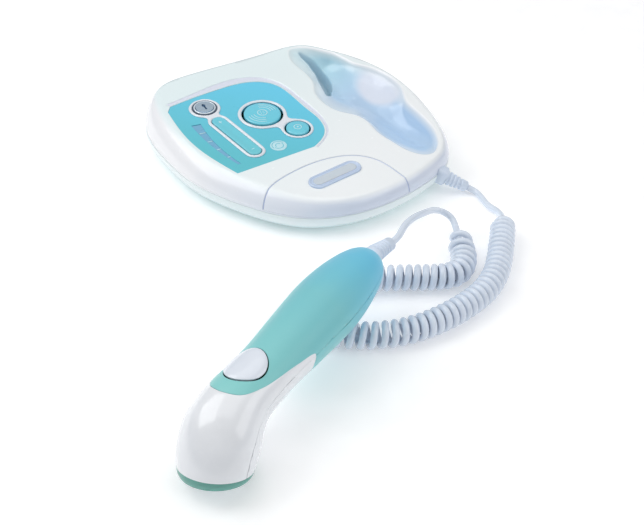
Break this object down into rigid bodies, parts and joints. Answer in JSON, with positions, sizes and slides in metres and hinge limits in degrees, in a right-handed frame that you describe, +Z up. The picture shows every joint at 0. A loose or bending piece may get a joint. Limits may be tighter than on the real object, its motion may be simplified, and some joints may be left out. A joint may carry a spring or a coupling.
{
  "type": "hair remover",
  "caption": "Table-top light hair remover: rounded base with control panel and hand rest, curly cord and bent handset with an oval trigger and a treatment window.",
  "frame": {"origin": "on the surface under the middle of the base, at the bottom face of its foot ring", "axes": "+Z up, +X along the straight back edge towards the hand rest, +Y towards the back edge"},
  "size_m": [0.297, 0.3392, 0.0546],
  "materials": {
    "shell_white": "glossy moulded plastic",
    "panel_blue": "printed blue to teal gradient, satin",
    "bezel_white": "glossy moulded plastic",
    "cap_blue": "glossy translucent blue",
    "lock_dark": "dark blue, glossy",
    "lock_chrome": "polished",
    "segment_blue": "translucent grey blue",
    "emblem_pale": "glossy",
    "badge_blue": "glossy translucent",
    "board_green": "solder mask, satin",
    "switch_black": "moulded, matte",
    "screw_steel": "zinc plated",
    "power_steel": "lacquered",
    "can_aluminium": "satin",
    "foot_rubber": "matte",
    "tray_plastic": "fine texture",
    "cord_white": "smooth, slight sheen",
    "gland_white": "soft moulded",
    "grip_teal": "soft-touch satin",
    "trigger_white": "glossy",
    "frame_green": "translucent green, glossy",
    "window_clear": "clear, polished",
    "lens_clear": "clear, polished",
    "mirror_face": "polished",
    "motor_steel": "satin"
  },
  "bodies": {
    "base": {"base_upper_shell": "shell_white", "base_lower_shell": "shell_white", "base_foot_ring": "foot_rubber", "base_screw_1": "screw_steel", "base_screw_2": "screw_steel", "base_screw_3": "screw_steel", "base_screw_4": "screw_steel", "compartment_tray": "tray_plastic", "control_panel": "panel_blue", "button_bezel": "bezel_white", "key_bezel": "bezel_white", "key_lock_housing": "lock_dark", "rocker_pivot": "switch_black", "level_segment_1": "segment_blue", "level_segment_2": "segment_blue", "level_segment_3": "segment_blue", "level_segment_4": "segment_blue", "level_segment_5": "segment_blue", "panel_emblem": "emblem_pale", "panel_board": "board_green", "scan_switch": "switch_black", "single_switch": "switch_black", "plus_switch": "switch_black", "minus_switch": "switch_black", "main_board": "board_green", "power_module": "power_steel", "capacitor": "can_aluminium", "buzzer": "switch_black", "power_inlet": "switch_black", "base_cord_gland": "gland_white", "cord_base_lead": "cord_white", "cord_coil": "cord_white"},
    "key_barrel": {"key_lock_barrel": "lock_chrome"},
    "scan_cap": {"scan_button": "cap_blue"},
    "single_cap": {"single_button": "cap_blue"},
    "rocker": {"level_rocker": "cap_blue"},
    "lid": {"compartment_lid": "shell_white", "lid_badge": "badge_blue"},
    "trigger": {"trigger_button": "trigger_white"},
    "mirror": {"scan_mirror": "mirror_face"},
    "handset": {"handset_upper_grip": "grip_teal", "handset_lower_grip": "grip_teal", "handset_upper_shell": "shell_white", "handset_lower_shell": "shell_white", "handset_screw_1": "screw_steel", "handset_screw_2": "screw_steel", "window_frame": "frame_green", "window_glass": "window_clear", "handset_board": "board_green", "trigger_switch": "switch_black", "light_module": "can_aluminium", "focus_lens": "lens_clear", "mirror_motor": "motor_steel", "heat_sink": "can_aluminium", "handset_cord_gland": "gland_white", "cord_handset_lead": "cord_white"}
  },
  "joints": [
    {"name": "handset_lift", "type": "slide", "parent": "base", "child": "handset", "axis": [0, 0, 1], "range_m": [0, 0.1]},
    {"name": "trigger_press", "type": "slide", "parent": "handset", "child": "trigger", "axis": [0.1343, -0.1578, -0.9783], "range_m": [0, 0.0012], "stiffness_N_per_m": 400},
    {"name": "mirror_turn", "type": "hinge", "parent": "handset", "child": "mirror", "pos_m": [-0.16159, -0.20415, 0.02774], "axis": [0.3975, -0.8958, 0.199], "range_deg": [-8, 8], "stiffness_Nm_per_rad": 0.001},
    {"name": "scan_press", "type": "slide", "parent": "base", "child": "scan_cap", "axis": [0, 0.0698, -0.9976], "range_m": [0, 0.001], "stiffness_N_per_m": 500},
    {"name": "single_press", "type": "slide", "parent": "base", "child": "single_cap", "axis": [0, 0.0698, -0.9976], "range_m": [0, 0.001], "stiffness_N_per_m": 500},
    {"name": "rocker_tilt", "type": "hinge", "parent": "base", "child": "rocker", "pos_m": [-0.041, 0.01671, 0.02816], "axis": [-0.9898, -0.1423, -0.0099], "range_deg": [-2, 2], "stiffness_Nm_per_rad": 0.2},
    {"name": "key_turn", "type": "hinge", "parent": "base", "child": "key_barrel", "pos_m": [-0.0455, 0.05606, 0.03592], "axis": [0, 0.0698, -0.9976], "range_deg": [0, 90]},
    {"name": "lid_slide", "type": "slide", "parent": "base", "child": "lid", "axis": [0, -1, 0], "range_m": [0, 0.024]}
  ]
}
